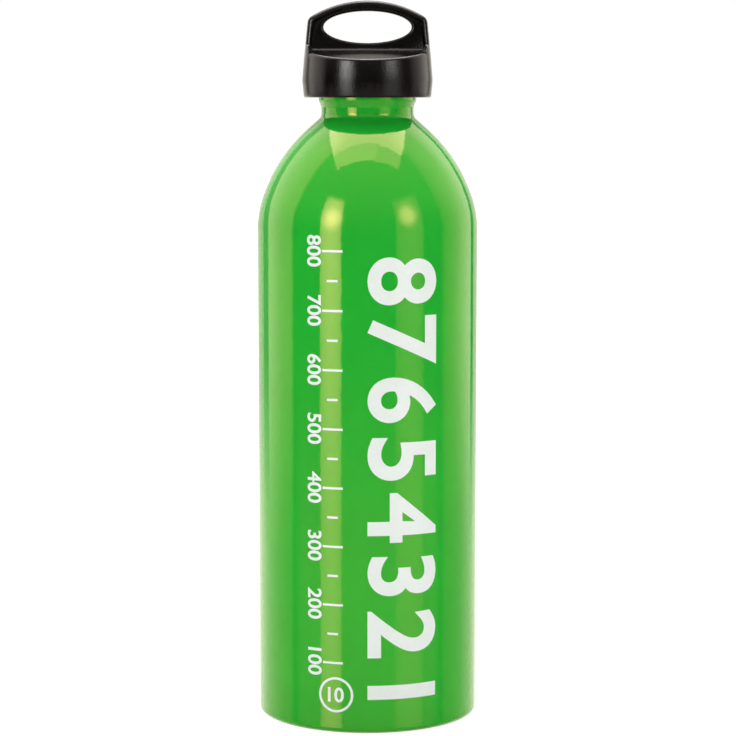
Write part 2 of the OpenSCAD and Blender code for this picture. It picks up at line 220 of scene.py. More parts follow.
class StudioSizes(bpy.types.PropertyGroup):
    """Camera and lamps of the studio. A brightness of 1 is that of white paper"""

    distance: metres_of("Distance", "Distance of the camera from the bottle's axis", 0.896)
    aside: metres_of("Aside", "Place of the camera to the right of the axis", 0.00018)
    height: metres_of("Height", "Height of the camera", 0.2259)
    tilt: angle_of("Tilt", "Downward tilt of the camera", 6.31)
    lens: number_of("Lens", "Focal length in millimetres", 120.3)
    reach: metres_of("Lamp distance", "Distance of the lamps from the bottle", 2.5)
    left: number_of("Left strip", "Brightness of the left strip lamp", 4.2)
    right: number_of("Right strip", "Brightness of the right strip lamp", 1.0)
    top: number_of("Overhead", "Brightness of the overhead softbox", 3.8)
    hair: number_of("Hair light", "Brightness of the small lamp above the cap", 15.0)
    fill: number_of("Fill", "Brightness of the even fill from the front", 2.05)
    ceiling: number_of("Ceiling", "Brightness of the ceiling in the gloss", 0.45)
    table: number_of("Table", "Brightness of the table's front in the gloss", 0.43)
    paper_dim: number_of("Paper dimming", "Share that the paper behind loses higher up", 0.65)
    panel_lean: number_of(
        "Panel lean", "Degrees by which the panels' far edges move back per degree up", 0.42)
    warm: colour_of("Panel colour", "Colour of the panels' light", (1.0, 0.94, 0.86))
    floor_white: number_of("Floor", "Share of white that the floor shows the camera by itself", 0.72)


# small tools


def sizes(name):
    """The scene's property group of that name."""
    return getattr(bpy.context.scene, name)


def mesh_object(name, mesh):
    """A new object in the scene with that mesh."""
    obj = bpy.data.objects.new(name, mesh)
    bpy.context.scene.collection.objects.link(obj)
    return obj


def taken(obj):
    """The object's mesh, with the object gone."""
    mesh = obj.data
    bpy.data.objects.remove(obj)
    return mesh


def plain(obj):
    """The object's evaluated shape as a plain mesh object in its place."""
    graph = bpy.context.evaluated_depsgraph_get()
    mesh = bpy.data.meshes.new_from_object(obj.evaluated_get(graph), depsgraph=graph)
    name = obj.name
    bpy.data.meshes.remove(taken(obj))
    mesh.name = name
    return mesh_object(name, mesh)


class Editing:
    """A mesh opened as a bmesh and written back at the end."""

    def __init__(self, mesh):
        self.mesh = mesh

    def __enter__(self):
        self.shape = bmesh.new()
        self.shape.from_mesh(self.mesh)
        return self.shape

    def __exit__(self, kind, error, trace):
        self.shape.to_mesh(self.mesh)
        self.shape.free()


def smoothed(mesh, sharp):
    """Smooth shading, with creases sharper than an angle in degrees kept sharp."""
    mesh.shade_smooth()
    mesh.set_sharp_from_angle(angle=math.radians(sharp))


def recalculated(mesh, sharp=35.0):
    """Faces outwards on a closed shape, smooth up to an angle."""
    with Editing(mesh) as shape:
        bmesh.ops.remove_doubles(shape, verts=shape.verts, dist=1e-7)
        bmesh.ops.recalc_face_normals(shape, faces=shape.faces)
    smoothed(mesh, sharp)


def joined(name, meshes, finish):
    """One object from several meshes."""
    shape = bmesh.new()
    for mesh in meshes:
        shape.from_mesh(mesh)
        bpy.data.meshes.remove(mesh)
    out = bpy.data.meshes.new(name)
    shape.to_mesh(out)
    shape.free()
    out.materials.clear()
    out.materials.append(finish)
    return mesh_object(name, out)


def outline(points, closed=False):
    """A mesh line through points in millimetres."""
    mesh = bpy.data.meshes.new("outline")
    count = len(points)
    edges = [(i, (i + 1) % count) for i in range(count if closed else count - 1)]
    mesh.from_pydata([tuple(v * MM for v in point) for point in points], edges, [])
    return mesh


def arc(centre, radius, start, end, step):
    """Points of an arc by the angle of its outward normal, in degrees."""
    count = max(2, math.ceil(abs(end - start) / step))
    return [(centre[0] + radius * math.cos(math.radians(start + (end - start) * i / count)),
             centre[1] + radius * math.sin(math.radians(start + (end - start) * i / count)))
            for i in range(count + 1)]


# node trees


class Value:
    """A node's output that takes part in plain arithmetic."""

    def __init__(self, tree, socket):
        self.tree = tree
        self.socket = socket

    def __add__(self, other):
        return self.tree.math("ADD", self, other)

    def __sub__(self, other):
        return self.tree.math("SUBTRACT", self, other)

    def __rsub__(self, other):
        return self.tree.math("SUBTRACT", other, self)

    def __mul__(self, other):
        return self.tree.math("MULTIPLY", self, other)

    def __truediv__(self, other):
        return self.tree.math("DIVIDE", self, other)


class Tree:
    """Short writing for a node tree."""

    def __init__(self, tree):
        self.nodes = tree.nodes
        self.links = tree.links

    def fill(self, socket, value):
        """Links the socket to an output, or sets its value."""
        if isinstance(value, Value):
            value = value.socket
        if isinstance(value, bpy.types.NodeSocket):
            self.links.new(value, socket)
        else:
            socket.default_value = value

    def add(self, kind, inputs=None, **settings):
        """A node with its settings, and its inputs linked or filled in."""
        node = self.nodes.new(kind)
        for key, value in settings.items():
            setattr(node, key, value)
        for key, value in (inputs or {}).items():
            self.fill(node.inputs[key], value)
        return node

    def value(self, kind, output=0, inputs=None, **settings):
        """One output of a new node."""
        return Value(self, self.add(kind, inputs, **settings).outputs[output])

    def math(self, operation, *values):
        """The output of one Math node."""
        return self.value("ShaderNodeMath", 0, dict(enumerate(values)), operation=operation)

    def split(self, vector):
        """The three parts of a vector."""
        node = self.add("ShaderNodeSeparateXYZ", {0: vector})
        return [Value(self, socket) for socket in node.outputs]

    def vector(self, x, y, z):
        """A vector from its three parts."""
        return self.value("ShaderNodeCombineXYZ", 0, {"X": x, "Y": y, "Z": z})

    def step_up(self, value, low, high):
        """Rises softly from 0 to 1 between two values."""
        return self.value("ShaderNodeMapRange", "Result", {"Value": value, "From Min": low, "From Max": high},
                          interpolation_type="SMOOTHSTEP")

    def between(self, factor, first, second):
        """first where the factor is 0 and second where it is 1."""
        return self.value("ShaderNodeMix", 0, {0: factor, 2: first, 3: second}, data_type="FLOAT")


class ShapeTree(Tree):
    """A Geometry Nodes tree with named inputs. An input without a default is a material."""

    def __init__(self, name, inputs):
        self.group = bpy.data.node_groups.new(name, "GeometryNodeTree")
        super().__init__(self.group)
        face = self.group.interface
        face.new_socket("Geometry", in_out="INPUT", socket_type="NodeSocketGeometry")
        for label, default in inputs.items():
            kind = {int: "NodeSocketInt", float: "NodeSocketFloat"}.get(type(default), "NodeSocketMaterial")
            socket = face.new_socket(label, in_out="INPUT", socket_type=kind)
            if default is not None:
                socket.default_value = default
        face.new_socket("Geometry", in_out="OUTPUT", socket_type="NodeSocketGeometry")
        self.source = self.add("NodeGroupInput").outputs

    def take(self, *names):
        """The inputs of those names."""
        return [Value(self, self.source[name]) for name in names]

    def index(self):
        """The number of each point or instance."""
        return self.value("GeometryNodeInputIndex")

    def attribute(self, name):
        """A number stored on each point."""
        return self.value("GeometryNodeInputNamedAttribute", "Attribute", {"Name": name}, data_type="FLOAT")

    def finish(self, geometry, *finishes):
        """Realize Instances, Set Material for each finish and the faces that it is for, and the output."""
        done = self.value("GeometryNodeRealizeInstances", 0, {"Geometry": geometry})
        for material, selection in finishes:
            done = self.value("GeometryNodeSetMaterial", 0,
                              {"Geometry": done, "Selection": selection, "Material": material})
        self.fill(self.add("NodeGroupOutput").inputs[0], done)
        return self.group


def grown(name, mesh, group, values):
    """What a Geometry Nodes tree makes of the mesh with these inputs, as a plain mesh object."""
    obj = mesh_object(name, mesh)
    modifier = obj.modifiers.new(group.name, "NODES")
    modifier.node_group = group
    sockets = {item.name: item.identifier for item in group.interface.items_tree if item.in_out == "INPUT"}
    for key, value in values.items():
        modifier[sockets[key]] = value
    return plain(obj)


# finishes


# names of the materials that the threads share with the wall and the plug
BARE_METAL = "bare drawn aluminium"
GREY_ACETAL = "matt grey acetal"
# most of a noise lies between these values
NOISE_LOW, NOISE_HIGH = 0.35, 0.65


class Finish(Tree):
    """A new material with a Principled shader, whose looks follow noise on Object coordinates."""

    def __init__(self, name, constants=None):
        self.material = bpy.data.materials.new(name)
        self.material.use_nodes = True
        super().__init__(self.material.node_tree)
        self.nodes.clear()
        out = self.add("ShaderNodeOutputMaterial")
        self.shader = self.add("ShaderNodeBsdfPrincipled", constants)
        self.fill(out.inputs["Surface"], self.shader.outputs["BSDF"])

    def noise(self, scale, detail=3.0, rough=0.5, stretch=(1.0, 1.0, 1.0)):
        """A noise between 0 and 1, finer along an axis that is stretched."""
        place = self.value("ShaderNodeTexCoord", "Object")
        if stretch != (1.0, 1.0, 1.0):
            place = self.value("ShaderNodeMapping", "Vector", {"Vector": place, "Scale": stretch})
        return self.value("ShaderNodeTexNoise", "Fac",
                          {"Vector": place, "Scale": scale, "Detail": detail, "Roughness": rough})

    def spread(self, field, low, high):
        """The middle of a noise, where most of it lies, mapped to low..high."""
        return self.value("ShaderNodeMapRange", "Result", {
            "Value": field, "From Min": NOISE_LOW, "From Max": NOISE_HIGH, "To Min": low, "To Max": high})

    def shade(self, field, colour, dark, light):
        """A base colour between a darker and a lighter shade of the colour."""
        shades = [(*(min(1.0, part * share) for part in colour), 1.0) for share in (dark, light)]
        mixed = self.value("ShaderNodeMix", "Result", {"Factor": field, "A": shades[0], "B": shades[1]},
                           data_type="RGBA")
        self.fill(self.shader.inputs["Base Color"], mixed)

    def rough(self, field, low, high):
        """A roughness between low and high."""
        self.fill(self.shader.inputs["Roughness"], self.spread(field, low, high))

    def relief(self, field, strength, distance):
        """A bump of that strength and depth in metres."""
        bump = self.value("ShaderNodeBump", "Normal",
                          {"Height": field, "Strength": strength, "Distance": distance})
        self.fill(self.shader.inputs["Normal"], bump)

    def follow(self, field, colour, shades, rough, relief):
        """The material, with its shade, roughness and relief all after one noise."""
        self.shade(field, colour, *shades)
        self.rough(field, *rough)
        self.relief(field, *relief)
        return self.material


def lacquer_finish():
    """Gloss green lacquer: an even deep colour with a warm gloss and faint orange peel."""
    look = Finish("gloss green lacquer", {"Specular IOR Level": 1.0, "Specular Tint": (1.0, 0.60, 0.25, 1.0)})
    cloud = look.noise(38.0, 2.0)
    look.shade(look.spread(cloud, 0.0, 1.0), sizes("bottle_sizes").lacquer, 0.97, 1.03)
    look.rough(look.noise(2600.0, 1.0), 0.045, 0.075)
    look.relief(look.noise(420.0, 2.0), 0.04, 0.0006)
    return look.material


def bare_finish():
    """Bare drawn aluminium with fine lines round the axis."""
    look = Finish(BARE_METAL, {"Metallic": 1.0})
    lines = look.noise(3.0, 2.0, stretch=(4.0, 4.0, 900.0))
    return look.follow(lines, sizes("bottle_sizes").metal, (0.85, 1.1), (0.28, 0.42), (0.1, 0.0002))


def moulded_finish(name, colour, rough, grain):
    """Satin moulded plastic with a fine spark-eroded grain and slight rubbing."""
    look = Finish(name, {"Specular IOR Level": 0.36, "Specular Tint": (1.0, 0.97, 0.95, 1.0)})
    rub = look.noise(120.0, 4.0)
    look.shade(look.spread(rub, 0.0, 1.0), colour, 0.85, 1.25)
    look.rough(rub, rough - 0.03, rough + 0.04)
    look.relief(look.noise(1500.0, 2.0, 0.6), grain, 0.0001)
    return look.material


def rubber_finish():
    """Dull black rubber with a bloom of dust."""
    look = Finish("black seal rubber")
    dust = look.noise(700.0, 5.0)
    return look.follow(dust, sizes("cap_looks").rubber, (0.7, 1.6), (0.5, 0.7), (0.2, 0.0001))


def wire_finish():
    """Drawn stainless wire with fine marks."""
    look = Finish("drawn spring wire", {"Metallic": 1.0})
    marks = look.noise(1500.0)
    return look.follow(marks, sizes("cap_looks").steel, (0.8, 1.2), (0.2, 0.32), (0.15, 0.0001))


def ink_finish():
    """White screen print with a faintly uneven film."""
    look = Finish("white screen print", {"Coat Weight": 0.3, "Coat Roughness": 0.1})
    film = look.noise(900.0)
    return look.follow(film, sizes("print_sizes").ink, (0.95, 1.04), (0.3, 0.4), (0.1, 0.0001))


# bottle


def bunched(start, end, count):
    """Points between two ends, closer together near both, without the ends."""
    shares = [(1 - math.cos(math.pi * i / count)) / 2 for i in range(1, count)]
    return [tuple(a + (b - a) * t for a, b in zip(start, end)) for t in shares]


def profile_points():
    """The bottle's profile as (radius, height, bare), and the height of its throat, in millimetres.

    It runs from the bottom's middle outside up to the lip and down to the bottom's middle inside.
    """
    s = sizes("bottle_sizes")
    body = BODY_BOX[1].x / MM
    mouth = s.mouth / 2
    waist = mouth + s.neck
    bead = waist + s.bead
    turn1, turn2 = math.radians(s.shoulder_turn), math.radians(s.cone_turn)
    # the shoulder's first arc is given, and its second one meets the cone
    first = (body - s.shoulder, s.wall_height)
    joint = (first[0] + s.shoulder * math.cos(turn1), first[1] + s.shoulder * math.sin(turn1))
    cone_low = waist + s.fillet * (1 - math.cos(turn2)) + s.cone * math.sin(turn2)
    slow = (joint[0] - cone_low) / (math.cos(turn1) - math.cos(turn2))
    second = (joint[0] - slow * math.cos(turn1), joint[1] - slow * math.sin(turn1))
    cone_start = (second[0] + slow * math.cos(turn2), second[1] + slow * math.sin(turn2))
    waist_z = cone_start[1] + s.cone * math.cos(turn2) + s.fillet * math.sin(turn2)
    bead_z = waist_z + s.waist
    lip_z = bead_z + s.bead_height
    # the domed bottom, outside and inside
    dome_r = body - s.heel - s.ring
    ball = (dome_r ** 2 + s.dome ** 2) / (2 * s.dome)
    dome_turn = math.degrees(math.asin(dome_r / ball))
    inner_turn = math.degrees(math.acos((ball + s.bottom - s.dome) / (ball + s.bottom)))
    inner_heel = max(LEAST_HEEL, s.heel - s.wall)
    throat = (cone_start[0] - s.wall * math.cos(turn2), cone_start[1] - s.wall * math.sin(turn2))
    throat_z = throat[1] + (throat[0] - mouth) / math.tan(turn2)
    flank = math.radians(s.bead_turn)
    bow = s.bead_bow
    straight = (s.bead - 2 * bow * (1 - math.cos(flank))) / math.tan(flank)
    bead_top = bead_z + 2 * bow * math.sin(flank) + straight

    outside = arc((0, s.dome - ball), ball, 90, 90 - dome_turn, 1.5)
    outside += bunched(outside[-1], (body - s.heel, 0), 4)
    heel = arc((body - s.heel, s.heel), s.heel, -90, 0, 6)
    outside += heel + bunched(heel[-1], (body, s.wall_height), 36)
    outside += arc(first, s.shoulder, 0, s.shoulder_turn, 1.0)
    outside += arc(second, slow, s.shoulder_turn, s.cone_turn, 1.0)[1:]
    neck = arc((waist + s.fillet, waist_z), s.fillet, 180 + s.cone_turn, 180, 4)
    outside += bunched(outside[-1], neck[0], 5) + neck
    outside += bunched((waist, waist_z), (waist, bead_z), 4)
    outside += arc((waist + bow, bead_z), bow, 180, 180 - s.bead_turn, 4)
    outside += arc((bead - bow, bead_top), bow, -s.bead_turn, 0, 4)
    outside += arc((bead - s.lip, lip_z - s.lip), s.lip, 0, 90, 8)
    inside = [(mouth + s.bevel, lip_z), (mouth, lip_z - s.bevel), (mouth, throat_z)]
    inside += arc(second, slow - s.wall, s.cone_turn, s.shoulder_turn, 1.0)
    inside += arc(first, s.shoulder - s.wall, s.shoulder_turn, 0, 1.0)[1:]
    inside += bunched(inside[-1], (body - s.wall, s.bottom + inner_heel), 12)
    inside += arc((body - s.wall - inner_heel, s.bottom + inner_heel), inner_heel, 0, -90, 10)
    inside += arc((0, s.dome - ball), ball + s.bottom, 90 - inner_turn, 90, 1.5)
    return [(r, z, 0.0) for r, z in outside] + [(r, z, 1.0) for r, z in inside], throat_z


def turned_tree():
    """Turns a profile line round the Z axis and gives the two sides of its wall their materials."""
    t = ShapeTree("Turned wall", {"Segments": 256, "Outside": None, "Inside": None})
    line, segments, outside, inside = t.take("Geometry", "Segments", "Outside", "Inside")
    rows = t.value("GeometryNodeAttributeDomainSize", "Point Count", {"Geometry": line})
    around = segments + 1.0
    grid = t.value("GeometryNodeMeshGrid", "Mesh",
                   {"Size X": 1.0, "Size Y": 1.0, "Vertices X": rows, "Vertices Y": around})
    index = t.index()
    row = t.math("FLOOR", (index + 0.5) / around)
    angle = (index - row * around) / segments * -FULL_TURN

    def sampled(kind, value):
        """A value of the profile's point in this row."""
        return t.value("GeometryNodeSampleIndex", 0, {"Geometry": line, "Value": value, "Index": row},
                       data_type=kind, domain="POINT")

    radius, _, height = t.split(sampled("FLOAT_VECTOR", t.value("GeometryNodeInputPosition")))
    place = t.vector(radius * t.math("COSINE", angle), radius * t.math("SINE", angle), height)
    wall = t.value("GeometryNodeSetPosition", 0, {"Geometry": grid, "Position": place})
    wall = t.value("GeometryNodeStoreNamedAttribute", 0,
                   {"Geometry": wall, "Name": "bare", "Value": sampled("FLOAT", t.attribute("bare"))},
                   data_type="FLOAT", domain="POINT")
    wall = t.value("GeometryNodeMergeByDistance", 0, {"Geometry": wall, "Distance": 1e-6})
    wall = t.value("GeometryNodeSetShadeSmooth", 0, {"Geometry": wall, "Shade Smooth": True})
    bare = t.value("FunctionNodeCompare", 0, {0: t.attribute("bare"), 1: 0.25}, operation="GREATER_THAN",
                   data_type="FLOAT")
    return t.finish(wall, (outside, True), (inside, bare))


class FUELBOTTLE_OT_body(bpy.types.Operator):
    """Turn the drawn bottle from its profile and lacquer it"""

    bl_idname = "fuel_bottle.body"
    bl_label = "Bottle body"

    def execute(self, context):
        points, _ = profile_points()
        line = outline([(r, 0.0, z) for r, z, _ in points])
        line.attributes.new("bare", "FLOAT", "POINT").data.foreach_set("value", [b for _, _, b in points])
        body = grown("bottle", line, turned_tree(), {
            "Segments": sizes("bottle_sizes").segments, "Outside": lacquer_finish(), "Inside": bare_finish()})
        recalculated(body.data)
        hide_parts("bottle_body")
        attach(body, "bottle")
        return {"FINISHED"}


# threads and spring


def helix_tree():
    """Sweeps a section along a helix about Z, fading at both ends."""
    t = ShapeTree("Helical rib", {"Radius": 0.01, "Lead": 0.004, "Turns": 2.0, "Start height": 0.0,
                                  "Start angle": 0.0, "Fade": 0.0, "Steps per turn": 96, "Finish": None})
    radius, lead, turns, height = t.take("Radius", "Lead", "Turns", "Start height")
    start, length, per_turn = t.take("Start angle", "Fade", "Steps per turn")
    finish, section = t.take("Finish", "Geometry")
    steps = turns * per_turn
    line = t.value("GeometryNodeMeshLine", 0, {"Count": steps + 1.0}, mode="OFFSET")
    turned = t.index() / steps * turns
    angle = start + turned * FULL_TURN
    place = t.vector(radius * t.math("COSINE", angle), radius * t.math("SINE", angle), height + turned * lead)
    line = t.value("GeometryNodeSetPosition", 0, {"Geometry": line, "Position": place})
    curve = t.value("GeometryNodeMeshToCurve", 0, {"Mesh": line})
    curve = t.value("GeometryNodeSetCurveNormal", 0, {"Curve": curve}, mode="Z_UP")
    # the section shrinks over the fade length at either end, down to a least size
    least = 0.02
    where = t.value("GeometryNodeSplineParameter", "Factor")
    edge = t.math("MINIMUM", where, 1.0 - where)
    size = t.math("MINIMUM", edge / t.math("MAXIMUM", length, 1e-6) + least, 1.0)
    swept = t.value("GeometryNodeCurveToMesh", 0, {
        "Curve": curve, "Profile Curve": t.value("GeometryNodeMeshToCurve", 0, {"Mesh": section}),
        "Scale": t.math("MAXIMUM", size, least), "Fill Caps": True})
    return t.finish(swept, (finish, True))


class FUELBOTTLE_OT_threads(bpy.types.Operator):
    """Cut the thread of the mouth and of the plug"""

    bl_idname = "fuel_bottle.threads"
    bl_label = "Threads"

    def execute(self, context):
        t = sizes("thread_sizes")
        _, throat_z = profile_points()
        tree = helix_tree()
        mouth = sizes("bottle_sizes").mouth / 2
        neck_low = throat_z + NECK_START
        plug_low = PLUG_BOX[0].z / MM + PLUG_START
        # half a lead away from the ridge of the mouth at the same angle
        plug_angle = ((plug_low - neck_low) / t.lead - 0.5) * FULL_TURN
        for name, radius, side, turns, low, angle, body, slot, finish in (
                ("mouth_thread", mouth, 1, t.neck_turns, neck_low, 0.0,
                 "bottle", "green_lacquer", BARE_METAL),
                ("plug_thread", mouth - PLUG_CORE, -1, t.plug_turns, plug_low, plug_angle,
                 "plug", "plug_grey", GREY_ACETAL)):
            foot, crest = side * RIDGE_SUNK, -side * t.depth
            corners = ((foot, -t.foot), (crest, -t.crest), (crest, t.crest), (foot, t.foot))
            section = outline([(out, width / 2, 0.0) for out, width in corners], closed=True)
            rib = grown(name, section, tree, {
                "Radius": radius * MM, "Lead": t.lead * MM, "Turns": turns, "Start height": low * MM,
                "Start angle": angle, "Fade": RIDGE_FADE, "Finish": bpy.data.materials[finish]})
            recalculated(rib.data)
            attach(rib, body)
        return {"FINISHED"}


class FUELBOTTLE_OT_spring(bpy.types.Operator):
    """Wind the return spring"""

    bl_idname = "fuel_bottle.spring"
    bl_label = "Return spring"

    def execute(self, context):
        w = sizes("spring_sizes")
        low, high = SPRING_BOX
        height = (high.z - low.z) / MM
        turns = [FULL_TURN * i / w.sides for i in range(w.sides)]
        section = outline(
            [(w.wire / 2 * math.cos(turn), w.wire / 2 * math.sin(turn), 0.0) for turn in turns], closed=True)
        spring = grown("spring_coil", section, helix_tree(), {
            "Radius": w.coil / 2 * MM, "Lead": (height - w.wire) / w.turns * MM, "Turns": w.turns,
            "Start height": low.z + w.wire / 2 * MM, "Start angle": 0.0, "Fade": 0.0,
            "Steps per turn": w.steps, "Finish": wire_finish()})
        recalculated(spring.data, 60.0)
        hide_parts("return_spring")
        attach(spring, "spring")
        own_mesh(spring)
        return {"FINISHED"}


# cap


def joined_edges(edges):
    """The edges sorted into groups that hang together."""
    at = {}
    for edge in edges:
        for vertex in edge.verts:
            at.setdefault(vertex, []).append(edge)
    groups, seen = [], set()
    for edge in edges:
        if edge in seen:
            continue
        seen.add(edge)
        group, waiting = [], [edge]
        while waiting:
            one = waiting.pop()
            group.append(one)
            for other in (near for vertex in one.verts for near in at[vertex]):
                if other not in seen:
                    seen.add(other)
                    waiting.append(other)
        groups.append(group)
    return groups


def rounded(shape, edges, width):
    """Rounds edges by a width in millimetres."""
    bmesh.ops.bevel(shape, geom=edges, offset=width * MM, offset_type="OFFSET", segments=3, profile=0.5,
                    affect="EDGES", clamp_overlap=True)


def cut_away(obj, cutters):
    """Takes the cutters' space out of the object and removes them."""
    for cutter in cutters:
        cut = obj.modifiers.new("Cut", "BOOLEAN")
        cut.operation = "DIFFERENCE"
        cut.solver = "EXACT"
        cut.object = cutter
    done = plain(obj)
    for cutter in cutters:
        bpy.data.meshes.remove(taken(cutter))
    return done


def rounded_copy(node, name, width, finish, sharp=MOULDED_SHARP, cutters=()):
    """A copy of a moulded node with its finish on, and each group of its joined edges rounded by itself."""
    merge, flat, least = 2e-6, math.radians(0.8), math.radians(sharp)
    piece = mesh_object(name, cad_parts[node].data.copy())
    piece.data.name = name
    shape = bmesh.new()
    shape.from_mesh(piece.data)
    bmesh.ops.remove_doubles(shape, verts=shape.verts, dist=merge)
    if cutters:
        shape.to_mesh(piece.data)
        piece = cut_away(piece, cutters)
        shape.clear()
        shape.from_mesh(piece.data)
    bmesh.ops.dissolve_degenerate(shape, edges=shape.edges, dist=merge)
    bmesh.ops.dissolve_limit(shape, angle_limit=flat, verts=shape.verts, edges=shape.edges)
    edges = [e for e in shape.edges if len(e.link_faces) == 2 and e.calc_face_angle(0.0) > least]
    for group in joined_edges(edges):
        rounded(shape, group, width)
    shape.to_mesh(piece.data)
    shape.free()
    piece.data.materials.clear()
    piece.data.materials.append(finish)
    smoothed(piece.data, sharp)
    return piece


def rim_cutter(side, rows=48, steps=10):
    """The space outside the rounded rim between the handle's feet, in front (side 1) or behind (side -1)."""
    c = sizes("cap_looks")
    # in millimetres: a hair outside the true centre, so that the cut runs out cleanly in both faces, and how
    # far the cutter stands clear of the faces and of the corner
    hair, clear, corner_clear = 0.004, 0.6, 0.8
    slope, flare = math.tan(c.deck_slope), math.tan(c.skirt_flare)
    deck = Vector((0, -math.sin(c.deck_slope), math.cos(c.deck_slope)))
    points = []
    for i in range(rows + 1):
        turn = c.rim_end * (2 * i / rows - 1)
        # where the sloping deck meets the leaning skirt
        rise = c.rim_radius * (1 - math.cos(turn)) * slope / (1 - flare * slope * math.cos(turn))
        reach = c.rim_radius - rise * flare
        corner = Vector((reach * math.sin(turn), -reach * math.cos(turn), c.rim_height + rise))
        skirt = Vector((math.sin(turn) * math.cos(c.skirt_flare), -math.cos(turn) * math.cos(c.skirt_flare),
                        math.sin(c.skirt_flare)))
        along = deck.cross(skirt).normalized()
        inward = along.cross(deck)
        inward *= -1 if inward.dot(skirt) > 0 else 1
        down = along.cross(skirt)
        down *= -1 if down.dot(deck) > 0 else 1
        half = inward.angle(down) / 2
        centre = corner + (inward + down).normalized() * (c.rim / math.sin(half)) + (deck + skirt) * hair
        section = [centre + c.rim * deck.slerp(skirt, k / steps) for k in range(steps + 1)]
        outer = corner + (deck + skirt) * corner_clear
        section += [section[-1] + skirt * clear, outer, section[0] + deck * clear]
        points += [(v.x * MM, side * v.y * MM, v.z * MM) for v in section]
    count = steps + 4
    starts = range(0, rows * count, count)
    faces = [(at + k, at + (k + 1) % count, at + count + (k + 1) % count, at + count + k)
             for at in starts for k in range(count)]
    faces += [tuple(range(count)), tuple(rows * count + k for k in range(count))]
    mesh = bpy.data.meshes.new("rim cutter")
    mesh.from_pydata(points, [], faces)
    with Editing(mesh) as shape:
        bmesh.ops.recalc_face_normals(shape, faces=shape.faces)
    return mesh_object("rim cutter", mesh)


def ledge_mesh(side):
    """The bevelled ledge between the web and the deck, in front (side 1) or at the back (side -1)."""
    c = sizes("cap_looks")
    # its back reaches into the web and its foot into the deck, and only its long edges are rounded
    back, sunk, long_edge = 0.3, 0.6, 20.0
    top, low = c.ledge_height + c.ledge / 2, c.ledge_height - c.ledge / 2
    section = [(c.ledge_start - back, top), (c.ledge_start, top),
               (c.ledge_start + c.ledge * math.tan(c.ledge_lean), low), (c.ledge_start - back, low - sunk)]
    points = [(x * c.ledge_length / 2 * MM, -side * y * MM, z * MM) for x in (-1, 1) for y, z in section]
    mesh = bpy.data.meshes.new("ledge")
    sides = [(0, 1, 5, 4), (1, 2, 6, 5), (2, 3, 7, 6), (3, 0, 4, 7)]
    mesh.from_pydata(points, [], [(0, 1, 2, 3), (4, 5, 6, 7)] + sides)
    with Editing(mesh) as shape:
        bmesh.ops.recalc_face_normals(shape, faces=shape.faces)
        rounded(shape, [e for e in shape.edges if e.calc_length() > long_edge * MM], LEDGE_EDGE)
    return mesh


class FUELBOTTLE_OT_cap(bpy.types.Operator):
    """Mould the cap shell and its retaining ring"""

    bl_idname = "fuel_bottle.cap"
    bl_label = "Cap shell"

    def execute(self, context):
        c = sizes("cap_looks")
        black = moulded_finish("satin black nylon", c.black, *CAP_GLOSS)
        shell = rounded_copy("cap_shell", "cap", c.edge, black, cutters=[rim_cutter(1), rim_cutter(-1)])
        shell = joined("cap", [taken(shell), ledge_mesh(1), ledge_mesh(-1)], black)
        smoothed(shell.data, MOULDED_SHARP)
        ring = rounded_copy("retaining_ring", "snap_ring", RING_EDGE, black)
        for piece, node in ((shell, "cap_shell"), (ring, "retaining_ring")):
            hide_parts(node)
            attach(piece, "shell")
        return {"FINISHED"}


class FUELBOTTLE_OT_plug(bpy.types.Operator):
    """Mould the plug and lay the seal ring under its flange"""

    bl_idname = "fuel_bottle.plug"
    bl_label = "Plug and seal"

    def execute(self, context):
        acetal = moulded_finish(GREY_ACETAL, sizes("cap_looks").grey, *PLUG_GLOSS)
        plug = rounded_copy("plug", "stopper", PLUG_EDGE, acetal)
        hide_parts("plug")
        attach(plug, "plug")
        seal = rounded_copy("seal_ring", "seal", SEAL_EDGE, rubber_finish(), 50.0)
        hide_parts("seal_ring")
        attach(seal, "seal")
        return {"FINISHED"}


# measuring scale


def height_at(litres):
    """Height of the fuel's surface for a volume in the straight wall, in millimetres."""
    s = sizes("bottle_sizes")
    radius = BODY_BOX[1].x / MM - s.wall
    # the domed bottom takes the space of a ball's cap from the fuel
    dome = math.pi * s.dome * (3 * (radius - DOME_INSET) ** 2 + s.dome ** 2) / 6
    return (litres * LITRE + dome) / (math.pi * radius ** 2) + s.bottom


def wrapped(mesh, radius, middle):
    """Bends a flat mesh round the wall: x runs round it from a bearing, y is the height and z the film."""
    for vertex in mesh.vertices:
        x, z, film = vertex.co
        angle = middle + x / radius
        vertex.co = ((radius + film) * math.sin(angle), -(radius + film) * math.cos(angle), z)


def ticks_tree():
    """A row of flat ticks up the wall, every few of them longer."""
    t = ShapeTree("Scale ticks", {"Count": 17, "Rise": 0.01, "First height": 0.01, "Short": 0.006,
                                  "Long": 0.012, "Every": 4, "Thickness": 0.001, "Finish": None})
    count, rise, first, every = t.take("Count", "Rise", "First height", "Every")
    short, long, thickness, finish = t.take("Short", "Long", "Thickness", "Finish")
    line = t.value("GeometryNodeMeshLine", 0, {
        "Count": count, "Start Location": t.vector(0.0, first, 0.0),
        "Offset": t.vector(0.0, rise, 0.0)}, mode="OFFSET")
    # a bar is cut across so that it bends round the wall
    bar = t.value("GeometryNodeMeshGrid", "Mesh",
                  {"Size X": 1.0, "Size Y": 1.0, "Vertices X": 14, "Vertices Y": 2})
    is_long = t.math("LESS_THAN", t.math("MODULO", t.index(), every), 0.5)
    width = short + is_long * (long - short)
    ticks = t.value("GeometryNodeInstanceOnPoints", 0, {
        "Points": line, "Instance": bar, "Scale": t.vector(width, thickness, 1.0)})
    moved = t.value("GeometryNodeTranslateInstances", 0, {
        "Instances": ticks, "Translation": t.vector(width * 0.5, 0.0, 0.0)})
    return t.finish(moved, (finish, True))


